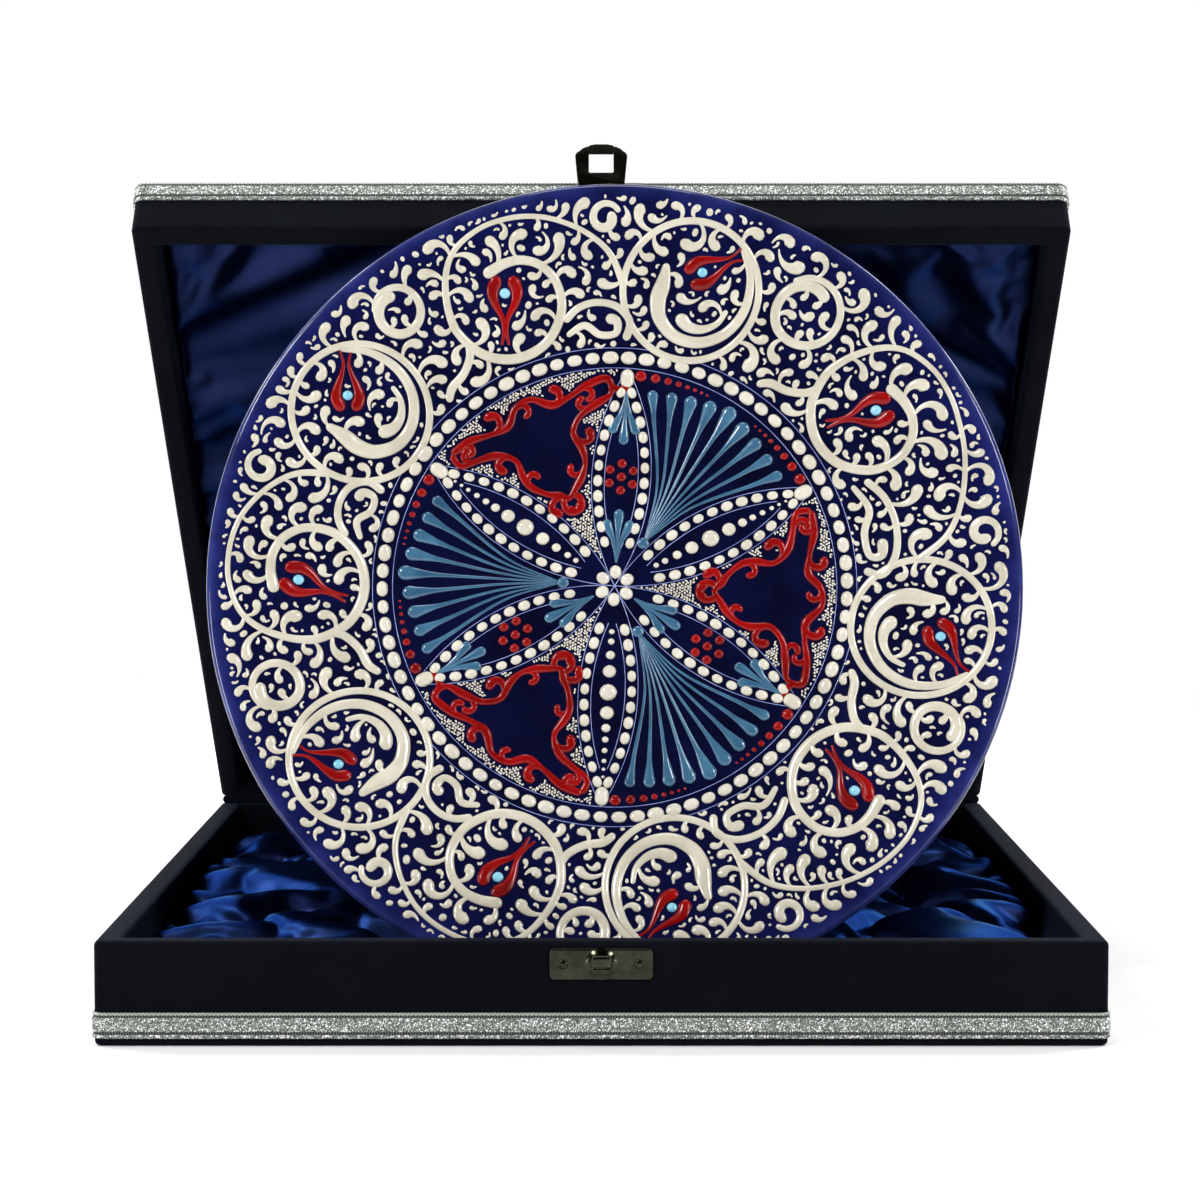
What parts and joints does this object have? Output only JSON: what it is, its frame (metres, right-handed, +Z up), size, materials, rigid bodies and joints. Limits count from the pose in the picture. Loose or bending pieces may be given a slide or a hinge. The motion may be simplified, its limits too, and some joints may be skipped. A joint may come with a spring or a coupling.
{
  "type": "hand painted ceramic plate in a presentation case",
  "caption": "Broad-rimmed hand painted ceramic plate standing in its open velvet presentation case, which has a hinged lid and a snap clasp.",
  "frame": {"origin": "middle of the flat underside of the case's base", "axes": "+Z up, +X along the case's front edge to the viewer's right, +Y from the case's front to its hinged back"},
  "size_m": [0.356, 0.3848, 0.3211],
  "materials": {
    "ceramic": "gloss glaze over painted enamel",
    "board": "raw fibreboard",
    "velvet": "dark navy velvet",
    "paper": "flock paper",
    "satin": "royal blue satin",
    "wadding": "soft polyester wadding",
    "braid": "silver glitter braid",
    "nickel": "dark polished nickel"
  },
  "bodies": {
    "base": {"base_underside_sheet": "paper", "base_panel_board": "board", "base_front_wall": "board", "base_back_wall": "board", "base_left_wall": "board", "base_right_wall": "board", "base_velvet_cover": "velvet", "base_wadding": "wadding", "base_satin_lining": "satin", "base_braid": "braid", "clasp_catch": "nickel", "catch_rivet_left": "nickel", "catch_rivet_right": "nickel", "hinge_left_base_leaf": "nickel", "hinge_right_base_leaf": "nickel", "hinge_left_pin": "nickel", "hinge_right_pin": "nickel", "hinge_left_base_rivet_1": "nickel", "hinge_left_base_rivet_2": "nickel", "hinge_right_base_rivet_1": "nickel", "hinge_right_base_rivet_2": "nickel"},
    "lid": {"lid_panel_board": "board", "lid_front_wall": "board", "lid_back_wall": "board", "lid_left_wall": "board", "lid_right_wall": "board", "lid_velvet_cover": "velvet", "lid_wadding": "wadding", "lid_satin_lining": "satin", "lid_braid": "braid", "hinge_left_lid_leaf": "nickel", "hinge_right_lid_leaf": "nickel", "hinge_left_lid_rivet_1": "nickel", "hinge_left_lid_rivet_2": "nickel", "hinge_right_lid_rivet_1": "nickel", "hinge_right_lid_rivet_2": "nickel", "hasp_mount": "nickel", "hasp_rivet_left": "nickel", "hasp_rivet_right": "nickel", "hasp_pin": "nickel"},
    "hasp": {"hasp_loop": "nickel"},
    "plate": {"plate_body": "ceramic"}
  },
  "joints": [
    {"name": "lid_hinge", "type": "hinge", "parent": "base", "child": "lid", "pos_m": [0, 0.1822, 0.0372], "axis": [-1, 0, 0], "range_deg": [0, 131]},
    {"name": "hasp_hinge", "type": "hinge", "parent": "lid", "child": "hasp", "pos_m": [0, -0.07425, 0.29765], "axis": [1, 0, 0], "range_deg": [0, 40]},
    {"name": "plate_lift", "type": "slide", "parent": "base", "child": "plate", "axis": [0, -0.1736, 0.9848], "range_m": [0, 0.32]}
  ]
}
